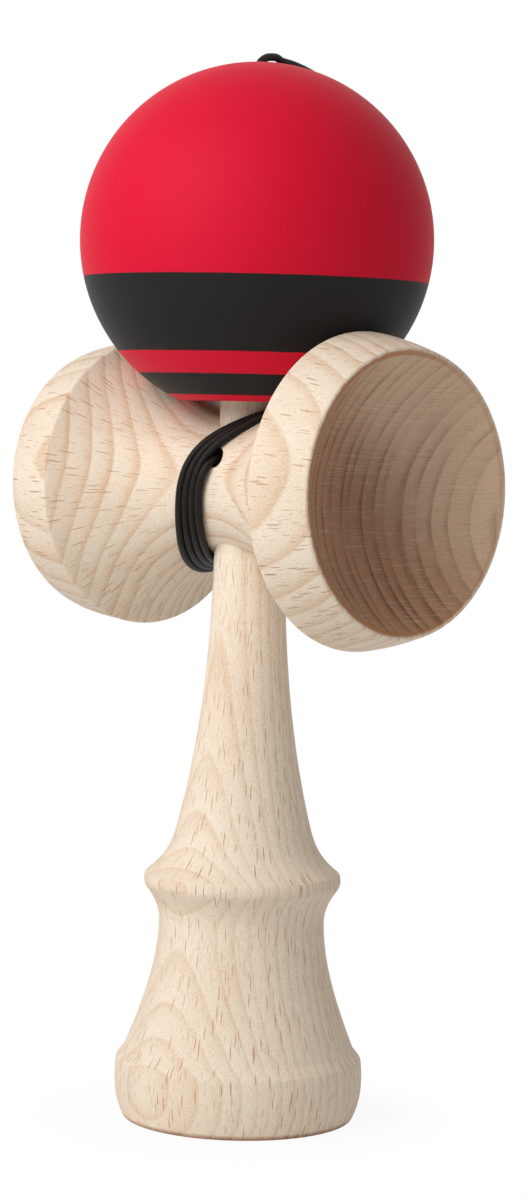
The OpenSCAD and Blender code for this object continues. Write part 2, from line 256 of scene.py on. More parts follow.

# Masks on the sarado in mm: painted light on the hollows up and to the back, worn lip at the front, painted
# shade on the wall of the string hole
PAINTED_LIGHT_UP = 1.05
PAINTED_LIGHT_BACK = 1.35
PAINTED_LIGHT_RAGGED = 10
PAINTED_LIGHT_EDGES = (-8, 24)
WORN_FRONT = (16, -6, 0.7)
WORN_LEAST = 0.3
# Painted shade on the string hole's wall: softness of its edge and the front part where it lies
HOLE_SHADE_SOFT = 0.15
HOLE_SHADE_FRONT = (-4, -5)
HOLLOW_EDGE = (CUP_R + 0.3, CUP_R + 0.1)
LIP_DEPTHS = (0.5, 0.3)
LIP_INSETS = (0.3, 0.5)

# Ball's paint in mm: waver and softness of the bands' edges, bare wood in the bore, grain of the paint
BRUSH_SIZE = 2.2
BRUSH_W = 0.12
BAND_SOFT = 0.08
BARE_R = (BALL_BORE_R + 0.5, BALL_BORE_R + 0.2)
BARE_Z = (BALL_Z + 27, BALL_Z + 26)
PAINT_GRAIN = 0.5
PAINT_RELIEF = {"Strength": 0.08, "Distance": 0.0002}

# Bead: size of its fibres in mm
BEAD_FIBRE = (0.3, 0.3, 2.5)

# String's braid: strands round it, the painted shade in their valleys and the painted highlight on their
# crowns
STRANDS = 8
VALLEY_SHADE = 0.15
CROWN_HIGHLIGHT = 2.2
CROWN_HIGHLIGHT_SHARE = 0.85
FRAY_SHARE = 0.3
BRAID_RELIEF = {"Strength": 0.9, "Distance": 0.00012}

# Meshing: creases in degrees, sides of a drilled hole, distance of points that are merged in metres
CREASE = 28
STRING_CREASE = 60
HOLE_SIDES = 96
MERGE_GAP = 2e-6

# Stage: camera as fitted to the photograph, places in metres, the sensor and the shadow's edges in mm
SENSOR_W = 36
CAMERA_RIGHT = Vector((0.6998, 0.7140, 0.0233))
CAMERA_BACK = Vector((0.7119, -0.6997, 0.0599))
CAMERA_PLACE = Vector((0.38471, -0.37448, 0.12124))
KEY_TARGET = Vector((0, 0, 0.09))
KEY_WAY = Vector((-0.02, -0.6, 0.42))
KEY_SIZE = 0.55
SIDE_TARGET = Vector((0, 0, 0.04))
SIDE_WAY = Vector((0.2, 0.11, -0.02))
SIDE_SIZE = 0.15
FLOOR_SIZE = 4
FLOOR_WHITE = 0.93
SHADOW_EDGES = (21, 42)
WHITE = (1, 1, 1, 1)
FLOOR_TONE = (0.9, 0.9, 0.9, 1)
FILL_TONE = (1, 0.97, 0.92, 1)

# What the beech shader needs at a point: grain directions, layers, and masks of 0 to 1
Beech = namedtuple("Beech", "along across out around radius layers contrast end_grain fresh worn hole_wall")


def linear(red, green, blue):
    """A colour of 0 to 255 a channel as the linear values that shaders use."""
    def channel(value):
        share = value / 255
        return share / 12.92 if share <= 0.04045 else ((share + 0.055) / 1.055) ** 2.4
    return channel(red), channel(green), channel(blue)


def colour(name, description, default):
    """A colour property in the sidebar."""
    return bpy.props.FloatVectorProperty(
        name=name, description=description, default=default, subtype="COLOR", min=0, max=1
    )


def length(name, description, default_mm):
    """A length property in the sidebar, in metres."""
    return bpy.props.FloatProperty(
        name=name, description=description, default=default_mm * MM, unit="LENGTH", precision=5
    )


class KendamaSizes(bpy.types.PropertyGroup):
    """Sizes that a user would change."""

    string_d: length("String", "Thickness of the string", 1.34)
    braid_pitch: length("Braid pitch", "Length of one repeat of the string's braid", 0.62)
    wide_band_top: length("Wide band, top", "Upper edge of the wide band from the ball's centre", -6.7)
    wide_band_foot: length("Wide band, foot", "Lower edge of the wide band", -19.1)
    thin_band_top: length("Thin band, top", "Upper edge of the thin band from the ball's centre", -22.7)
    thin_band_foot: length("Thin band, foot", "Lower edge of the thin band", -26.2)
    ken_layer: length("Ken growth layer", "Thickness of a growth layer in the ken", 2.0)
    sarado_layer: length("Sarado growth layer", "Thickness of a growth layer in the sarado", 2.6)


class KendamaColours(bpy.types.PropertyGroup):
    """Colours that a user would change."""

    beech_early: colour("Beech, early wood", "Pale wood", linear(244, 229, 209))
    beech_late: colour("Beech, late wood", "Wood at a growth line", linear(208, 162, 114))
    beech_ray: colour("Beech, rays", "Short dark flecks along the grain", linear(184, 122, 76))
    end_grain: colour("Beech, end grain", "Wood cut across its fibres", linear(182, 140, 109))
    end_line: colour("Beech, end lines", "Growth lines where fibres are cut across", linear(106, 67, 44))
    ball_red: colour("Ball", "Paint of the ball", linear(220, 20, 52))
    band_black: colour("Bands", "Paint of the ball's bands", linear(36, 34, 34))
    string_black: colour("String", "Strands of the string", linear(11, 11, 11))
    bead_wood: colour("Bead", "Wood of the bead", linear(205, 165, 120))


class KendamaStage(bpy.types.PropertyGroup):
    """Camera and light."""

    lens: bpy.props.FloatProperty(
        name="Lens", description="Focal length of the camera", default=94.53, unit="CAMERA"
    )
    key_power: bpy.props.FloatProperty(
        name="Key light", description="Power of the large soft light", default=4.45, unit="POWER"
    )
    side_power: bpy.props.FloatProperty(
        name="Side light", description="Power of the weak light low at the right", default=0.05,
        unit="POWER",
    )
    fill: bpy.props.FloatProperty(
        name="Fill", description="Strength of the light from all round", default=0.25, min=0
    )


class Shade:
    """A value in a material's nodes. Sums on such values add Math nodes."""

    def __init__(self, tree, socket=None):
        self.tree = tree
        self.socket = socket

    def add(self, kind, settings=None, inputs=None, output=0):
        """Adds a node with its settings and the values or links of its sockets, and gives one output."""
        node = self.tree.nodes.new(kind)
        for name, value in (settings or {}).items():
            setattr(node, name, value)
        for name, value in (inputs or {}).items():
            if isinstance(value, Shade):
                self.tree.links.new(value.socket, node.inputs[name])
            else:
                node.inputs[name].default_value = value
        return Shade(self.tree, node.outputs[output] if len(node.outputs) else None)

    def math(self, operation, *others):
        """One Math node on this value and others."""
        return self.add("ShaderNodeMath", {"operation": operation}, dict(enumerate((self, *others))))

    def __add__(self, other):
        return self.math("ADD", other)

    def __mul__(self, other):
        return self.math("MULTIPLY", other)

    def __sub__(self, other):
        return self.math("SUBTRACT", other)

    def __rsub__(self, other):
        return (self * -1) + other

    def __truediv__(self, other):
        return self.math("DIVIDE", other)

    def __pow__(self, other):
        return self.math("POWER", other)

    def ramp(self, low, high, interpolation="SMOOTHSTEP"):
        """0 below low and 1 above high, or the other way round where low is the greater."""
        return self.add(
            "ShaderNodeMapRange",
            {"interpolation_type": interpolation, "clamp": True},
            {0: self, 1: low, 2: high, 3: 0, 4: 1},
        )

    def mix(self, first, second):
        """The first colour where this value is 0 and the second where it is 1."""
        return self.add("ShaderNodeMix", {"data_type": "RGBA"}, {0: self, 6: first, 7: second}, output=2)


def vector(x, y, z):
    """Three values as a vector."""
    return x.add("ShaderNodeCombineXYZ", inputs={0: x, 1: y, 2: z})


def noise(place, detail=2, roughness=0.5):
    """Noise of about 0 to 1 with one bump to a unit of place."""
    inputs = {"Vector": place, "Scale": 1, "Detail": detail, "Roughness": roughness}
    return place.add("ShaderNodeTexNoise", {"noise_dimensions": "3D"}, inputs)


def object_place(start):
    """Object coordinates as three values in mm."""
    place = start.add("ShaderNodeTexCoord", output="Object")
    return [start.add("ShaderNodeSeparateXYZ", inputs={0: place}, output=axis) / MM for axis in "XYZ"]


def opaque(rgb):
    """A colour property as the four values of a colour socket."""
    return (*rgb, 1)


def finish_material(name, build):
    """A material whose surface is the shader that build gives."""
    material = bpy.data.materials.new(name)
    material.use_nodes = True
    tree = material.node_tree
    tree.nodes.clear()
    start = Shade(tree)
    start.add("ShaderNodeOutputMaterial", inputs={"Surface": build(start)})
    return material


def hypot(a, b):
    """Length of two values at right angles to each other."""
    return (a * a + b * b).math("SQRT")


def grain_noise(wood, size, detail=2, roughness=0.5):
    """Noise stretched to a size along, across and out of the grain."""
    place = vector(wood.along / size[0], wood.across / size[1], wood.out / size[2])
    return noise(place, detail, roughness)


def mark(value, low, high, share):
    """How far a mark takes the colour under it to its own."""
    return value.ramp(low, high) * share


def flecks(wood, wander, sizes, edges):
    """Short thin ribbons along the grain, one to a cell of the given width, length and depth in mm."""
    place = vector(wood.around / sizes[0] + wander, wood.along / sizes[1], wood.radius / sizes[2])
    cells = place.add("ShaderNodeTexVoronoi", {"feature": "F1"}, {"Vector": place, "Scale": 1})
    return cells.ramp(*edges)


def late_growth(wood):
    """Late wood from 0 to 1, which rises through each growth layer up to a crisp edge."""
    sway = grain_noise(wood, SWAY_SIZE, 1) - 0.5
    uneven = noise(vector(wood.layers * UNEVEN_RATE, *UNEVEN_ROW), 1) - 0.5
    step = (wood.layers + sway * SWAY_SHIFT + uneven * UNEVEN_SHIFT).math("FRACT")
    slow = (step.ramp(0, 1, "LINEAR") ** LATE_POWER) * LATE_SLOW_SHARE
    return (slow + mark(step, *LATE_FAST)) * step.ramp(*LATE_EDGE)


def end_tone(wood, late, strength, colours):
    """Colour of beech cut across its fibres, paler up and at the back of the hollows with painted light,
    darker deep in them with painted shade, with rays across the rings.
    """
    end_line = opaque(colours.end_line)
    # Painted light: the hollows turn paler up and towards the back, where the light falls, and their rings
    # fade there
    lit_hollow_tone = opaque(Vector(colours.beech_early).lerp(colours.beech_late, PAINTED_LIGHT_LATE_SHARE))
    tone = (wood.fresh * PAINTED_LIGHT_SHARE).mix(opaque(colours.end_grain), lit_hollow_tone)
    # Painted shade: the deep middle of each hollow darkens towards the end-line colour
    tone = mark(wood.radius, *HOLLOW_SHADE).mix(tone, end_line)
    rings = (mark(strength, *RING_MARK) + RING_LEAST) * (1 - wood.fresh * PAINTED_LIGHT_RING_LOSS)
    tone = (late * rings).mix(tone, end_line)
    cut_rays = grain_noise(wood, CUT_RAY_SIZE, 2, 0.6)
    tone = mark(cut_rays, *LIGHT_CUT_RAY).mix(tone, opaque(colours.beech_early))
    return mark(cut_rays, *DARK_CUT_RAY).mix(tone, end_line)


def beech_shader(start, wood, colours):
    """Raw beech with growth layers, fibres along the grain, thin dark flecks and speckle."""
    late = late_growth(wood)
    strength = noise(
        vector(wood.along / STRENGTH_SIZE[0], wood.across / STRENGTH_SIZE[1], wood.layers * STRENGTH_RATE)
    )
    cloud = grain_noise(wood, CLOUD_SIZE)
    fibre = grain_noise(wood, FIBRE_SIZE, 3, 0.6)
    speckle = grain_noise(wood, SPECKLE_SIZE, 1)
    wander = grain_noise(wood, WANDER_SIZE, 1) * WANDER_CELLS
    long_fleck = flecks(wood, wander, *LONG_FLECK) * LONG_FLECK_SHARE
    short_fleck = flecks(wood, wander + SHORT_FLECK_SHIFT, *SHORT_FLECK) * SHORT_FLECK_SHARE
    late_wood = opaque(colours.beech_late)
    ray = opaque(colours.beech_ray)
    layer = late * (strength * LAYER_SHARE + LAYER_LEAST) * wood.contrast
    tone = layer.mix(opaque(colours.beech_early), late_wood)
    tone = ((cloud - CLOUD_FROM) * CLOUD_SHARE).ramp(0, 1, "LINEAR").mix(tone, late_wood)
    tone = mark(fibre, *FIBRE_MARK).mix(tone, late_wood)
    tone = wood.end_grain.mix(tone, end_tone(wood, late, strength, colours))
    tone = mark(speckle, *DARK_SPECKLE).mix(tone, ray)
    light_speckle = mark(speckle, *LIGHT_SPECKLE) * (1 - wood.end_grain * END_SPECKLE_LOSS)
    tone = light_speckle.mix(tone, LIGHT_SPECKLE_TONE)
    tone = (short_fleck * (1 - wood.end_grain * END_SHORT_LOSS)).mix(tone, ray)
    tone = (long_fleck * (1 - wood.end_grain * END_LONG_LOSS)).mix(tone, ray)
    tone = (wood.worn * WORN_SHARE).mix(tone, ray)
    # Painted shade on the wall of the string hole
    hole_shade_tone = opaque(Vector(colours.end_line) * HOLE_SHADE_TONE)
    tone = (wood.hole_wall * HOLE_SHADE_SHARE).mix(tone, hole_shade_tone)
    bump = fibre.add("ShaderNodeBump", inputs={**WOOD_RELIEF, "Height": fibre})
    surface = {
        "Base Color": tone, "Roughness": 0.62, "Specular IOR Level": 0.3, "Normal": bump,
    }
    return start.add("ShaderNodeBsdfPrincipled", inputs=surface)


def ken_beech(sizes, colours):
    """Beech with its grain up the ken and its growth layers facing the front."""
    def build(start):
        x, y, z = object_place(start)
        on_bell = z.ramp(RING_Z + 0.1, RING_Z - 0.1)
        nowhere = z * 0
        wood = Beech(
            along=z, across=x, out=y,
            around=y.math("ARCTAN2", x) * (on_bell * (BELL_FLECK_R - NECK_FLECK_R) + NECK_FLECK_R),
            radius=hypot(x, y),
            layers=(y + KEN_LAYER_SHIFT) / (sizes.ken_layer / MM), contrast=KEN_CONTRAST,
            end_grain=z.ramp(*FOOT_END_GRAIN), fresh=nowhere, worn=nowhere, hole_wall=nowhere,
        )
        return beech_shader(start, wood, colours)
    return finish_material("ken_beech", build)


def sarado_beech(sizes, colours):
    """Beech with its grain from cup to cup and rings about a pith behind and below the sarado."""
    def build(start):
        x, y, z = object_place(start)
        rise = z - SARADO_Z
        pith_distance = hypot(y - PITH_Y, z - PITH_Z)
        radius = hypot(y, rise)
        ragged = (noise(vector(x, y / RAGGED_SIZE, z / RAGGED_SIZE)) - 0.5) * RAGGED_W
        hollows = [hollow_mask(x, radius, BIG_CUP), hollow_mask(x * -1, radius, SMALL_CUP)]
        lips = [lip_mask(x, radius + ragged, BIG_CUP), lip_mask(x * -1, radius + ragged, SMALL_CUP)]
        beside_hole = x * math.cos(STRING_HOLE_TURN) + y * math.sin(STRING_HOLE_TURN)
        off_hole = hypot(beside_hole, z - STRING_HOLE_Z)
        wood = Beech(
            along=x, across=z + SARADO_ACROSS_SHIFT, out=y,
            around=y.math("ARCTAN2", rise) * SARADO_FLECK_R, radius=radius,
            layers=(FIRST_LAYER_R - pith_distance) / (sizes.sarado_layer / MM), contrast=SARADO_CONTRAST,
            end_grain=hollows[0].math("MAXIMUM", hollows[1]),
            # Painted light, rising up and towards the back of the hollows
            fresh=(rise * PAINTED_LIGHT_UP + y * PAINTED_LIGHT_BACK + ragged * PAINTED_LIGHT_RAGGED).ramp(*PAINTED_LIGHT_EDGES),
            worn=lips[0].math("MAXIMUM", lips[1]) * (mark(y, *WORN_FRONT) + WORN_LEAST),
            # Painted shade on the string hole's wall, near its mouth at the front
            hole_wall=off_hole.ramp(SARADO_STRING_R + HOLE_SHADE_SOFT, SARADO_STRING_R) * y.ramp(*HOLE_SHADE_FRONT),
        )
        return beech_shader(start, wood, colours)
    return finish_material("sarado_beech", build)


def hollow_mask(x, radius, cup):
    """1 in the hollow of a cup, 0 on its lip and outside."""
    centre_x = lip_x(cup) + math.sqrt(CUP_R**2 - (cup["lip_r"] - LIP_W) ** 2)
    return hypot(x - centre_x, radius).ramp(*HOLLOW_EDGE)


def lip_mask(x, radius, cup):
    """1 on the inner part of a cup's lip, where the cut fibres are dark."""
    at_lip = x.ramp(*[lip_x(cup) - depth for depth in LIP_DEPTHS])
    return at_lip * radius.ramp(*[cup["lip_r"] - inset for inset in LIP_INSETS])


def stripe(height, foot, top, soft=BAND_SOFT):
    """1 between two heights, with edges a little soft."""
    return height.ramp(foot - soft, foot + soft) * height.ramp(top + soft, top - soft)


def ball_paint(sizes, colours):
    """Matt paint with a wide and a thin dark band below the ball's middle."""
    def build(start):
        x, y, z = object_place(start)
        brush = noise(vector(x / BRUSH_SIZE, y / BRUSH_SIZE, z / BRUSH_SIZE)) - 0.5
        height = z - BALL_Z + brush * BRUSH_W
        wide = stripe(height, sizes.wide_band_foot / MM, sizes.wide_band_top / MM)
        thin = stripe(height, sizes.thin_band_foot / MM, sizes.thin_band_top / MM)
        bands = wide + thin
        bare = hypot(x, y).ramp(*BARE_R) * z.ramp(*BARE_Z)
        tone = bands.mix(opaque(colours.ball_red), opaque(colours.band_black))
        tone = bare.mix(tone, opaque(colours.end_grain))
        grain = noise(vector(x / PAINT_GRAIN, y / PAINT_GRAIN, z / PAINT_GRAIN))
        bump = grain.add("ShaderNodeBump", inputs={**PAINT_RELIEF, "Height": grain})
        surface = {
            "Base Color": tone, "Roughness": 0.58, "Specular IOR Level": 0.1, "Normal": bump,
            "Sheen Weight": 0.06, "Sheen Roughness": 0.4,
        }
        return start.add("ShaderNodeBsdfPrincipled", inputs=surface)
    return finish_material("ball_paint", build)


def bead_finish(colours):
    """Plain wood of the bead inside the ball."""
    def build(start):
        x, y, z = object_place(start)
        fibre = noise(vector(x / BEAD_FIBRE[0], y / BEAD_FIBRE[1], z / BEAD_FIBRE[2]), 3)
        tone = fibre.mix(opaque(colours.bead_wood), opaque(colours.beech_ray))
        return start.add("ShaderNodeBsdfPrincipled", inputs={"Base Color": tone, "Roughness": 0.6})
    return finish_material("bead_wood", build)


def string_braid(colours):
    """Black nylon whose strands cross in a fine lattice, with painted highlights on the crowns and painted
    shade in the valleys, on the string's own UV map.
    """
    def build(start):
        braid = start.add("ShaderNodeUVMap", {"uv_map": "braid"})
        run = start.add("ShaderNodeSeparateXYZ", inputs={0: braid}, output="X") * math.tau
        turn = start.add("ShaderNodeSeparateXYZ", inputs={0: braid}, output="Y") * (STRANDS * math.tau)
        left = (run + turn).math("SINE")
        right = (run - turn).math("SINE")
        strands = left.math("MAXIMUM", right).ramp(-0.2, 1)
        fray = noise(vector(run, turn, 0), 3)
        black = Vector(colours.string_black)
        # Painted highlight on the strands' crowns and painted shade in their valleys, with random fray
        highlight_and_fray = strands * CROWN_HIGHLIGHT_SHARE + (fray - 0.5) * FRAY_SHARE
        tone = highlight_and_fray.mix(opaque(black * VALLEY_SHADE), opaque(black * CROWN_HIGHLIGHT))
        bump = strands.add("ShaderNodeBump", inputs={**BRAID_RELIEF, "Height": strands})
        surface = {
            "Base Color": tone, "Roughness": 0.45, "Specular IOR Level": 0.28, "Normal": bump,
            "Specular Tint": (1, 0.84, 0.76, 1),
        }
        return start.add("ShaderNodeBsdfPrincipled", inputs=surface)
    return finish_material("string_braid", build)


def hermite(low, high, low_slope, high_slope, share):
    """Radius on a smooth stretch between two heights with given slopes at its ends."""
    span = high[0] - low[0]
    s2, s3 = share**2, share**3
    return (
        (2 * s3 - 3 * s2 + 1) * low[1] + (s3 - 2 * s2 + share) * span * low_slope
        + (3 * s2 - 2 * s3) * high[1] + (s3 - s2) * span * high_slope
    )


def arc(centre, radius, start, end, steps):
    """Points of a circle in an outline plane, angles in radians."""
    angles = [start + (end - start) * i / steps for i in range(steps + 1)]
    return [Vector((centre[0] + radius * math.cos(a), centre[1] + radius * math.sin(a))) for a in angles]


def cut_back(points, distance):
    """A line of points shortened by a distance at its end."""
    points = list(points)
    while len(points) > 2 and (points[-1] - points[-2]).length < distance:
        distance -= (points[-1] - points[-2]).length
        points.pop()
    way = points[-1] - points[-2]
    points[-1] = points[-1] - way.normalized() * min(distance, way.length * 0.9)
    return points


def joined(stretches, rounds, corner_steps=4):
    """One outline from stretches that meet end to end, each corner between two of them rounded."""
    outline = list(stretches[0])
    for stretch, rounding in zip(stretches[1:], rounds):
        if rounding == 0:
            outline += stretch[1:]
            continue
        corner = outline[-1].copy()
        before = cut_back(outline, rounding)
        after = cut_back(stretch[::-1], rounding)[::-1]
        bend = []
        for i in range(1, corner_steps):
            t = i / corner_steps
            bend.append(before[-1] * (1 - t) ** 2 + corner * (2 * t * (1 - t)) + after[0] * t**2)
        outline = before + bend + after
    return outline


def turned(name, outline, along_x=False, centre_z=0, steps=144, closed=False):
    """A piece turned on a lathe: an outline of radius and height in mm, spun round Z or round X."""
    if along_x:
        points = [Vector((p[1], 0, centre_z + p[0])) * MM for p in outline]
    else:
        points = [Vector((p[0], 0, centre_z + p[1])) * MM for p in outline]
    if closed:
        points.append(points[0])
    bpy.ops.object.select_all(action="DESELECT")
    bpy.ops.mesh.primitive_plane_add(size=MM, location=(0, 0, 0))
    piece = bpy.context.object
    piece.name = name
    piece.data.name = name
    bpy.ops.object.mode_set(mode="EDIT")
    bpy.ops.mesh.select_all(action="SELECT")
    bpy.ops.mesh.merge(type="CENTER")
    bpy.ops.transform.translate(value=points[0])
    for here, there in zip(points, points[1:]):
        bpy.ops.mesh.extrude_region_move(TRANSFORM_OT_translate={"value": there - here})
    bpy.ops.mesh.select_all(action="SELECT")
    axis = (1, 0, 0) if along_x else (0, 0, 1)
    centre = (0, 0, centre_z * MM if along_x else 0)
    bpy.ops.mesh.spin(steps=steps, angle=math.tau, center=centre, axis=axis)
    bpy.ops.mesh.select_all(action="SELECT")
    bpy.ops.mesh.remove_doubles(threshold=MERGE_GAP)
    bpy.ops.mesh.normals_make_consistent(inside=False)
    bpy.ops.object.mode_set(mode="OBJECT")
    return piece


def drill(piece, start, way, depth, radius, end_radius=None):
    """Cuts a round hole, tapered where it has an end radius, from start along way. All in mm."""
    middle = (start + way * (depth / 2)) * MM
    turn = way.to_track_quat("Z", "Y").to_euler()
    bpy.ops.object.select_all(action="DESELECT")
    bpy.ops.mesh.primitive_cone_add(
        vertices=HOLE_SIDES, radius1=radius * MM, radius2=(end_radius or radius) * MM, depth=depth * MM,
        location=middle, rotation=turn,
    )
    bit = bpy.context.object
    bpy.ops.object.select_all(action="DESELECT")
    bpy.context.view_layer.objects.active = piece
    piece.select_set(True)
    bpy.ops.object.modifier_add(type="BOOLEAN")
    cut = piece.modifiers[-1]
    cut.operation = "DIFFERENCE"
    cut.solver = "EXACT"
    cut.object = bit
    bpy.ops.object.modifier_apply(modifier=cut.name)
    bpy.data.objects.remove(bit)


def smooth(piece, degrees=CREASE):
    """Smooth shading with crisp edges where faces meet at more than an angle."""
    bpy.ops.object.select_all(action="DESELECT")
    bpy.context.view_layer.objects.active = piece
    piece.select_set(True)
    bpy.ops.object.shade_smooth_by_angle(angle=math.radians(degrees))


def dress(piece, material, slot, body, *nodes):
    """Gives a piece its finish, its body and the nodes that it stands for."""
    piece.data.materials.clear()
    piece.data.materials.append(material)
    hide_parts(*nodes)
    if body:
        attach(piece, body)


def ken_outline():
    """Half outline of the ken from the crown of its base cup round the foot and up to the tip."""
    cup_z = -math.sqrt(BASE_CUP_R**2 - BASE_CUP_MOUTH_R**2)
    mouth = math.atan2(-cup_z, BASE_CUP_MOUTH_R)
    foot = KEN_KNOTS[0]
    stretches = [
        arc((0, cup_z), BASE_CUP_R, math.pi / 2, mouth, HOLLOW_STEPS),
        [Vector((BASE_CUP_MOUTH_R, 0)), Vector((foot[1], 0))],
    ]
    rounds = [BASE_MOUTH_ROUND, foot[5]]
    for low, high in zip(KEN_KNOTS, KEN_KNOTS[1:]):
        count = 1 if low[4] else max(STRETCH_STEPS, round((high[0] - low[0]) / 2))
        stretch = []
        for i in range(count + 1):
            share = i / count
            radius = hermite(low, high, low[3], high[2], share)
            if low[4]:
                radius = low[1] + (high[1] - low[1]) * share
            stretch.append(Vector((radius, low[0] + (high[0] - low[0]) * share)))
        stretches.append(stretch)
        rounds.append(high[5])
    tip_r, tip_z = KEN_KNOTS[-1][1], KEN_KNOTS[-1][0]
    quarter = arc((0, 0), 1, 0, math.pi / 2, STRETCH_STEPS)
    stretches.append([Vector((p.x * tip_r, tip_z + p.y * TIP_H)) for p in quarter])
    return joined(stretches, rounds)


def edge_x(cup):
    """Distance of a cup's back edge from the ken's axis."""
    return math.sqrt(SADDLE_R**2 - (WAIST_R + SADDLE_R - cup["edge_r"]) ** 2)


def lip_x(cup):
    """Distance of a cup's lip from the ken's axis."""
    return edge_x(cup) + cup["band_w"]


def cup_stretches(cup):
    """Outline of one cup from the bottom of its hollow over the lip to the back edge."""
    mouth_r = cup["lip_r"] - LIP_W
    centre = lip_x(cup) + math.sqrt(CUP_R**2 - mouth_r**2)
    hollow = arc((0, centre), CUP_R, -math.pi / 2, -math.acos(mouth_r / CUP_R), HOLLOW_STEPS)
    lip = [Vector((mouth_r, lip_x(cup))), Vector((cup["lip_r"], lip_x(cup)))]
    edge = (edge_x(cup), cup["edge_r"])
    rim = (lip_x(cup), cup["lip_r"])
    band = []
    for i in range(STRETCH_STEPS + 1):
        share = 1 - i / STRETCH_STEPS
        radius = hermite(edge, rim, BAND_EDGE_SLOPE, BAND_LIP_SLOPE, share)
        band.append(Vector((radius, edge[0] + (rim[0] - edge[0]) * share)))
    return [hollow, lip, band]


def sarado_outline():
    """Half outline of the sarado from the big cup's hollow over the saddle to the small cup's hollow."""
    big = cup_stretches(BIG_CUP)
    small = [[Vector((p.x, -p.y)) for p in stretch[::-1]] for stretch in cup_stretches(SMALL_CUP)[::-1]]
    ends = (math.asin(edge_x(BIG_CUP) / SADDLE_R), -math.asin(edge_x(SMALL_CUP) / SADDLE_R))
    saddle = []
    for i in range(SADDLE_STEPS + 1):
        tilt = ends[0] + (ends[1] - ends[0]) * i / SADDLE_STEPS
        radius = WAIST_R + SADDLE_R - SADDLE_R * math.cos(tilt)
        saddle.append(Vector((radius, SADDLE_R * math.sin(tilt))))
    rounds = [LIP_ROUND, LIP_ROUND, SARADO_EDGE_ROUND]
    return joined([*big, saddle, *small], rounds + rounds[::-1])


def tama_outline():
    """Half outline of the ball's wall, heights from its centre."""
    mouth_z = -math.sqrt(BALL_R**2 - MOUTH_R**2)
    chamfer = MOUTH_R - BALL_BORE_R
    drill_h = BALL_BORE_R / math.tan(DRILL_HALF_ANGLE)
    bore_end = BEAD_H + (BEAD_R + RUNNING_GAP) / math.sin(DRILL_HALF_ANGLE) - drill_h
    cone_end = bore_end + (BALL_BORE_R - BALL_STRING_R) / math.tan(DRILL_HALF_ANGLE)
    top = math.acos(BALL_STRING_R / BALL_R)
    stretches = [
        [Vector((BALL_STRING_R, cone_end)), Vector((BALL_STRING_R, BALL_R * math.sin(top)))],
        arc((0, 0), BALL_R, top, -math.acos(MOUTH_R / BALL_R), BALL_STEPS),
        [Vector((MOUTH_R, mouth_z)), Vector((BALL_BORE_R, mouth_z + chamfer))],
        [Vector((BALL_BORE_R, mouth_z + chamfer)), Vector((BALL_BORE_R, bore_end))],
        [Vector((BALL_BORE_R, bore_end)), Vector((BALL_STRING_R, cone_end))],
    ]
    return joined(stretches, [BALL_EDGE_ROUND, BALL_EDGE_ROUND, 0, 0])[:-1]


def bead_outline():
    """Half outline of the bead's wall round its hole, heights from the bead's centre."""
    end = math.acos(BEAD_HOLE_R / BEAD_R)
    return arc((0, 0), BEAD_R, -end, end, BEAD_STEPS)


def lean(angle):
    """Shift of the winding along the sarado at an angle round it, in radians."""
    waves = zip(range(len(LEAN_COS)), LEAN_COS, LEAN_SIN)
    return sum(c * math.cos(k * angle) + s * math.sin(k * angle) for k, c, s in waves)


def lean_rate(angle):
    """How fast that shift grows with the angle."""
    waves = zip(range(len(LEAN_COS)), LEAN_COS, LEAN_SIN)
    return sum(k * (s * math.cos(k * angle) - c * math.sin(k * angle)) for k, c, s in waves)


def lay(turns):
    """Point of the winding on the saddle after so many turns."""
    angle = math.asin(STRING_HOLE_RISE / WAIST_R) - math.tau * turns
    spread = math.sqrt(1 + (lean_rate(angle) / (WAIST_R + STRAIGHT_RUN)) ** 2)
    x = lean(angle) - TURN_PITCH * (turns - WIND_MID) * spread
    tilt = math.asin(x / SADDLE_R)
    reach = WAIST_R + SADDLE_R - (SADDLE_R - CORD_LIFT) * math.cos(tilt)
    side = (SADDLE_R - CORD_LIFT) * math.sin(tilt)
    return Vector((side, -reach * math.cos(angle), SARADO_Z + reach * math.sin(angle)))


def lay_way(turns):
    """Direction of the winding after so many turns."""
    step = 1 / 120
    return (lay(turns + step) - lay(turns - step)).normalized()


def cubic(a, b, c, d, steps):
    """Points of a cubic curve from a to d with handles b and c."""
    points = []
    for i in range(steps + 1):
        t = i / steps
        points.append(a * (1 - t) ** 3 + b * (3 * t * (1 - t) ** 2) + c * (3 * t**2 * (1 - t)) + d * t**3)
    return points


def on_ball(azimuth, latitude):
    """Point of the string's centre line on the ball."""
    around, up = math.radians(azimuth), math.radians(latitude)
    flat = math.cos(up)
    way = Vector((flat * math.cos(around), flat * math.sin(around), math.sin(up)))
    return Vector((0, 0, BALL_Z)) + way * (BALL_R + CORD_LIFT)


def at_top(distance, height):
    """Point over or in the ball's string hole, height from the ball's centre."""
    around = math.radians(TOP_AZIMUTH)
    return Vector((distance * math.cos(around), distance * math.sin(around), BALL_Z + height))


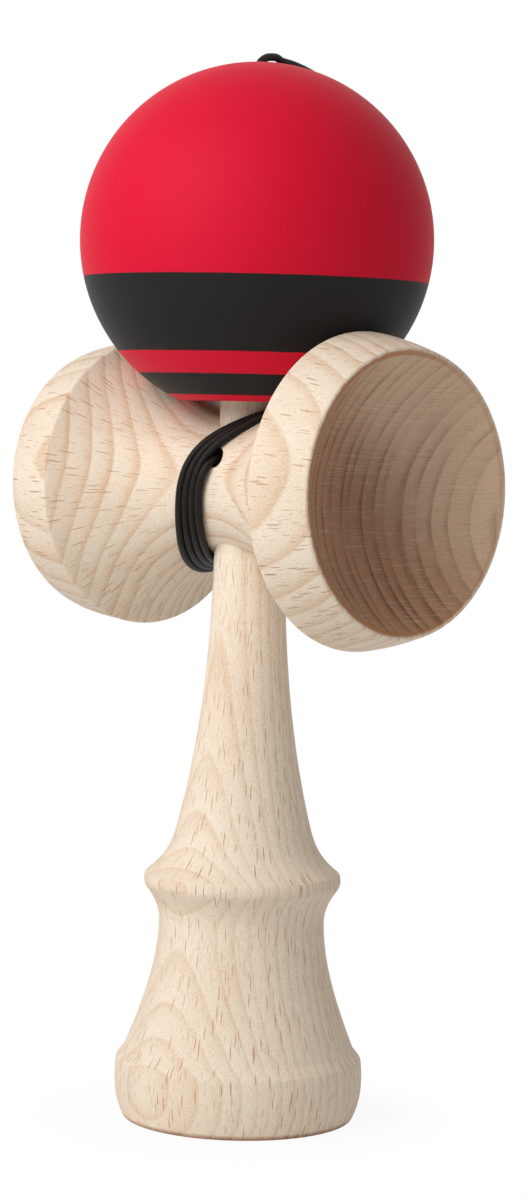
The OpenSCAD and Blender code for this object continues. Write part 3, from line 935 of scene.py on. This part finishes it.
def wound_route(riser_way):
    """The string from the ken's knot out of its hole, round the waist and up behind it."""
    hole = Vector((0, 0, STRING_HOLE_Z))
    mouth = hole + HOLE_WAY * LEAD_END
    begin = mouth + HOLE_WAY * STRAIGHT_RUN
    end = RISER_START - riser_way * STRAIGHT_RUN
    first, last = lay(WIND_IN), lay(WIND_OUT)
    turns = [WIND_IN + (WIND_OUT - WIND_IN) * i / WINDING_STEPS for i in range(1, WINDING_STEPS)]
    return [
        hole + HOLE_WAY * LEAD_START, mouth,
        *cubic(
            begin, begin + HOLE_WAY * BEND_IN, first - lay_way(WIND_IN) * BEND_IN, first, BEND_IN_STEPS
        ),
        *[lay(t) for t in turns],
        *cubic(last, last + lay_way(WIND_OUT) * BEND_OUT, end - riser_way * BEND_OUT, end, BEND_OUT_STEPS),
        RISER_START,
    ]


def rising_route(riser_end, riser_way):
    """The string from the waist up behind the ball, over its top and down its hole to the bead's knot."""
    depth = BALL_R - BEAD_H - BEAD_R
    free = [RISER_START.lerp(riser_end, i / FREE_STEPS) for i in range(FREE_STEPS + 1)]
    over = [riser_end + riser_way * STRAIGHT_RUN, *[on_ball(*place) for place in OVER_BALL[1:]]]
    top = [at_top(distance, BALL_R + rise) for distance, rise in TOP_BEND]
    hole = [at_top(distance, BALL_R - share * depth) for distance, share in HOLE_SWAY]
    return rounded_route([*free, *over, *top, *hole, at_top(0, BEAD_H), at_top(0, BEAD_KNOT_H)])


def rounded_route(points, steps=10):
    """A smooth line through points (a Catmull-Rom spline)."""
    padded = [points[0] * 2 - points[1], *points, points[-1] * 2 - points[-2]]
    line = []
    for a, b, c, d in zip(padded, padded[1:], padded[2:], padded[3:]):
        for i in range(steps):
            t = i / steps
            square = (a * 2 - b * 5 + c * 4 - d) * t**2
            cube = (b * 3 - a - c * 3 + d) * t**3
            line.append((b * 2 + (c - a) * t + square + cube) / 2)
    return [*line, points[-1]]


def even_line(points, step=0.25):
    """A line of points at even distances along a route, in metres, from a route in mm."""
    runs = [0]
    for here, there in zip(points, points[1:]):
        runs.append(runs[-1] + (there - here).length)
    count = round(runs[-1] / step)
    line = []
    k = 0
    for i in range(count + 1):
        run = min(runs[-1] * i / count, runs[-1])
        while k < len(runs) - 2 and runs[k + 1] < run:
            k += 1
        span = runs[k + 1] - runs[k]
        share = (run - runs[k]) / span if span else 0
        line.append(points[k].lerp(points[k + 1], share) * MM)
    return line


def line_length(line):
    """Length of a line of points."""
    return sum((there - here).length for here, there in zip(line, line[1:]))


def string_tube(name, line, diameter, braid_pitch, run_before=0, sides=18, closed=False):
    """A round tube along a line, with a UV map that runs along and round it for the braid."""
    count = len(line)
    ways = []
    for i in range(count):
        before = line[i - 1] if closed or i else line[0]
        after = line[(i + 1) % count] if closed else line[min(i + 1, count - 1)]
        ways.append((after - before).normalized())
    side = ways[0].orthogonal().normalized()
    points = []
    for here, way in zip(line, ways):
        side = (side - way * side.dot(way)).normalized()
        up = way.cross(side)
        for k in range(sides):
            a = math.tau * k / sides
            points.append(here + (side * math.cos(a) + up * math.sin(a)) * (diameter / 2))
    faces = []
    places = []
    step = line_length(line) / (count - 1) / braid_pitch
    start = run_before / braid_pitch
    for i in range(count if closed else count - 1):
        j = (i + 1) % count
        for k in range(sides):
            m = (k + 1) % sides
            faces.append((i * sides + k, i * sides + m, j * sides + m, j * sides + k))
            u, v = start + i * step, k / sides
            places += [(u, v), (u, v + 1 / sides), (u + step, v + 1 / sides), (u + step, v)]
    if not closed:
        for ring in (range(sides - 1, -1, -1), range((count - 1) * sides, count * sides)):
            faces.append(tuple(ring))
            places += [(start, k / sides) for k in range(sides)]
    mesh = bpy.data.meshes.new(name)
    mesh.from_pydata(points, [], faces)
    layer = mesh.uv_layers.new(name="braid")
    for corner, place in zip(layer.data, places):
        corner.uv = place
    piece = bpy.data.objects.new(name, mesh)
    bpy.context.collection.objects.link(piece)
    smooth(piece, STRING_CREASE)
    return piece


def knot_line(centre, way):
    """A trefoil round a point, the line of a small tight knot."""
    turn = way.to_track_quat("Z", "Y").to_matrix()
    line = []
    for i in range(KNOT_STEPS):
        a = math.tau * i / KNOT_STEPS
        radius = KNOT_RING_R + KNOT_LOOP_R * math.cos(3 * a)
        place = Vector((radius * math.cos(2 * a), radius * math.sin(2 * a), KNOT_LOOP_R * math.sin(3 * a)))
        line.append((centre + turn @ place) * MM)
    return line


class KENDAMA_OT_stage(bpy.types.Operator):
    """Set up the camera, the soft light and the pale floor"""

    bl_idname = "kendama.stage"
    bl_label = "Stage"

    def execute(self, context):
        settings = context.scene.kendama_stage
        context.scene.view_settings.view_transform = "Standard"
        bpy.ops.object.select_all(action="DESELECT")
        bpy.ops.object.camera_add()
        camera = context.object
        camera.name = "camera"
        camera.data.lens = settings.lens
        camera.data.sensor_width = SENSOR_W
        right = CAMERA_RIGHT.normalized()
        back = CAMERA_BACK.normalized()
        turn = Matrix((right, back.cross(right), back)).transposed().to_4x4()
        camera.matrix_world = Matrix.Translation(CAMERA_PLACE) @ turn
        context.scene.camera = camera

        soft_light("key_light", KEY_TARGET, KEY_WAY, KEY_SIZE, settings.key_power)
        soft_light("side_light", SIDE_TARGET, SIDE_WAY, SIDE_SIZE, settings.side_power)
        bpy.ops.mesh.primitive_plane_add(size=FLOOR_SIZE)
        floor = context.object
        floor.name = "floor"
        floor.data.materials.append(finish_material("pale_floor", pale_floor))
        world = bpy.data.worlds.new("studio")
        world.use_nodes = True
        world.node_tree.nodes.clear()
        studio_light(Shade(world.node_tree), settings.fill)
        context.scene.world = world
        return {"FINISHED"}


def soft_light(name, target, way, size, power):
    """A square light that looks at a target from some way off."""
    turn = (-way).to_track_quat("-Z", "Y").to_euler()
    bpy.ops.object.light_add(type="AREA", location=target + way, rotation=turn)
    light = bpy.context.object
    light.name = name
    light.data.energy = power
    light.data.size = size


def seen_directly(start):
    """1 for what the camera sees itself or in a gloss, 0 for light on the object."""
    rays = [start.add("ShaderNodeLightPath", output=name) for name in ("Is Camera Ray", "Is Glossy Ray")]
    return rays[0].math("MAXIMUM", rays[1])


def pale_floor(start):
    """White floor that keeps the shadow close to the foot."""
    x, y, _ = object_place(start)
    white = start.add("ShaderNodeEmission", inputs={"Color": WHITE, "Strength": 1})
    matt = start.add("ShaderNodeBsdfDiffuse", inputs={"Color": FLOOR_TONE})
    past_shadow = hypot(x, y).ramp(*SHADOW_EDGES)
    share = seen_directly(start) * (past_shadow * (1 - FLOOR_WHITE) + FLOOR_WHITE)
    return start.add("ShaderNodeMixShader", inputs={0: share, 1: matt, 2: white})


def studio_light(start, fill):
    """White backdrop for the camera and an even fill for the object."""
    backdrop = start.add("ShaderNodeBackground", inputs={"Color": WHITE, "Strength": 1})
    light = start.add("ShaderNodeBackground", inputs={"Color": FILL_TONE, "Strength": fill})
    surface = start.add("ShaderNodeMixShader", inputs={0: seen_directly(start), 1: light, 2: backdrop})
    start.add("ShaderNodeOutputWorld", inputs={"Surface": surface})


class KENDAMA_OT_string(bpy.types.Operator):
    """Wind the string round the waist, lead it over the ball and tie its two knots"""

    bl_idname = "kendama.string"
    bl_label = "String"

    def execute(self, context):
        sizes = context.scene.kendama_sizes
        braid = string_braid(context.scene.kendama_colours)
        diameter = sizes.string_d
        riser_end = on_ball(*OVER_BALL[0])
        riser_way = (riser_end - RISER_START).normalized()

        line = even_line(wound_route(riser_way))
        wound = string_tube("string_wound", line, diameter, sizes.braid_pitch)
        dress(wound, braid, "cord", "ken", "string_lead", "string_winding")
        wound_length = line_length(line)
        hole = Vector((0, 0, STRING_HOLE_Z))

        knot_place = hole - HOLE_WAY * (POCKET_FLOOR + RUNNING_GAP + KNOT_LEN / 2)
        knot = string_tube(
            "string_ken_knot", knot_line(knot_place, HOLE_WAY),
            diameter * KNOT_CORD_SHARE, sizes.braid_pitch, closed=True,
        )
        dress(knot, braid, "cord", "ken", "ken_knot")

        line = even_line(rising_route(riser_end, riser_way))
        rising = string_tube("string_rising", line, diameter, sizes.braid_pitch, wound_length)
        dress(rising, braid, "cord", None, "string_riser", "string_over_ball")
        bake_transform(rising)
        bead_knot = string_tube(
            "string_bead_knot",
            knot_line(Vector((0, 0, BALL_Z + BEAD_KNOT_H - KNOT_LEN / 2)), Vector((0, 0, 1))),
            diameter * KNOT_CORD_SHARE, sizes.braid_pitch, closed=True,
        )
        dress(bead_knot, braid, "cord", "string_end", "bead_knot")
        line_length(line)
        return {"FINISHED"}


class KENDAMA_OT_ken(bpy.types.Operator):
    """Turn the handle with its base cup, bell, ring, neck and spike"""

    bl_idname = "kendama.ken"
    bl_label = "Ken"

    def execute(self, context):
        ken = turned("ken_turned", ken_outline())
        hole = Vector((0, 0, STRING_HOLE_Z))
        bottom = hole - HOLE_WAY * (POCKET_FLOOR + POCKET_OVERLAP)
        drill(ken, bottom, HOLE_WAY, KEN_STRING_DEPTH, KEN_STRING_R)
        drill(ken, hole - HOLE_WAY * POCKET_FLOOR, -HOLE_WAY, POCKET_DEPTH, POCKET_R)
        smooth(ken)
        material = ken_beech(context.scene.kendama_sizes, context.scene.kendama_colours)
        dress(ken, material, "ken_beech", "ken", "ken")
        return {"FINISHED"}


class KENDAMA_OT_sarado(bpy.types.Operator):
    """Turn the cross-piece with its two cups and bore it for the ken and the string"""

    bl_idname = "kendama.sarado"
    bl_label = "Sarado"

    def execute(self, context):
        sarado = turned("sarado_turned", sarado_outline(), along_x=True, centre_z=SARADO_Z)
        low_z, high_z = SHAFT_FOOT[0], SHAFT_TOP[0]
        low_r, high_r = SHAFT_FOOT[1] + BORE_CLEARANCE, SHAFT_TOP[1] + BORE_CLEARANCE
        upward = Vector((0, 0, 1))
        drill(sarado, Vector((0, 0, low_z)), upward, high_z - low_z, low_r, high_r)
        drill(sarado, Vector((0, 0, high_z - DRILL_PAST)), upward, WAIST_R, high_r)
        drill(sarado, Vector((0, 0, STRING_HOLE_Z)), HOLE_WAY, WAIST_R + DRILL_PAST, SARADO_STRING_R)
        smooth(sarado)
        material = sarado_beech(context.scene.kendama_sizes, context.scene.kendama_colours)
        dress(sarado, material, "sarado_beech", "ken", "sarado")
        return {"FINISHED"}


class KENDAMA_OT_tama(bpy.types.Operator):
    """Turn the painted ball with its hole"""

    bl_idname = "kendama.tama"
    bl_label = "Tama"

    def execute(self, context):
        tama = turned("tama_turned", tama_outline(), centre_z=BALL_Z, closed=True)
        smooth(tama)
        material = ball_paint(context.scene.kendama_sizes, context.scene.kendama_colours)
        dress(tama, material, "ball_paint", "tama", "tama")
        return {"FINISHED"}


class KENDAMA_OT_bead(bpy.types.Operator):
    """Turn the bead that holds the ball on the string"""

    bl_idname = "kendama.bead"
    bl_label = "Bead"

    def execute(self, context):
        bead = turned(
            "bead_turned", bead_outline(), centre_z=BALL_Z + BEAD_H, steps=BEAD_SPIN_STEPS, closed=True
        )
        smooth(bead)
        dress(bead, bead_finish(context.scene.kendama_colours), "bead_wood", "string_end", "bead")
        return {"FINISHED"}


class KENDAMA_PT_build(bpy.types.Panel):
    """Sidebar panel that lists the kendama's pieces"""

    bl_idname = "KENDAMA_PT_build"
    bl_label = "Kendama"
    bl_space_type = "VIEW_3D"
    bl_region_type = "UI"
    bl_category = "Kendama"

    def draw(self, context):
        for group in (
            context.scene.kendama_sizes, context.scene.kendama_colours, context.scene.kendama_stage
        ):
            column = self.layout.column()
            for name in group.__annotations__:
                column.prop(group, name)
        for operator in OPERATORS:
            self.layout.operator(operator.bl_idname)


GROUPS = (KendamaSizes, KendamaColours, KendamaStage)
OPERATORS = (
    KENDAMA_OT_stage, KENDAMA_OT_string, KENDAMA_OT_ken,
    KENDAMA_OT_sarado, KENDAMA_OT_tama, KENDAMA_OT_bead,
)


def register():
    """Registers the classes and the settings of the scene."""
    for cls in (*GROUPS, *OPERATORS, KENDAMA_PT_build):
        bpy.utils.register_class(cls)
    bpy.types.Scene.kendama_sizes = bpy.props.PointerProperty(type=KendamaSizes)
    bpy.types.Scene.kendama_colours = bpy.props.PointerProperty(type=KendamaColours)
    bpy.types.Scene.kendama_stage = bpy.props.PointerProperty(type=KendamaStage)


def unregister():
    """Takes the settings and the classes away again."""
    del bpy.types.Scene.kendama_stage
    del bpy.types.Scene.kendama_colours
    del bpy.types.Scene.kendama_sizes
    for cls in reversed((*GROUPS, *OPERATORS, KENDAMA_PT_build)):
        bpy.utils.unregister_class(cls)


def main():
    """Builds the whole kendama."""
    register()
    bpy.ops.kendama.stage()
    bpy.ops.kendama.string()
    bpy.ops.kendama.ken()
    bpy.ops.kendama.sarado()
    bpy.ops.kendama.tama()
    bpy.ops.kendama.bead()


if __name__ == "__main__":
    main()
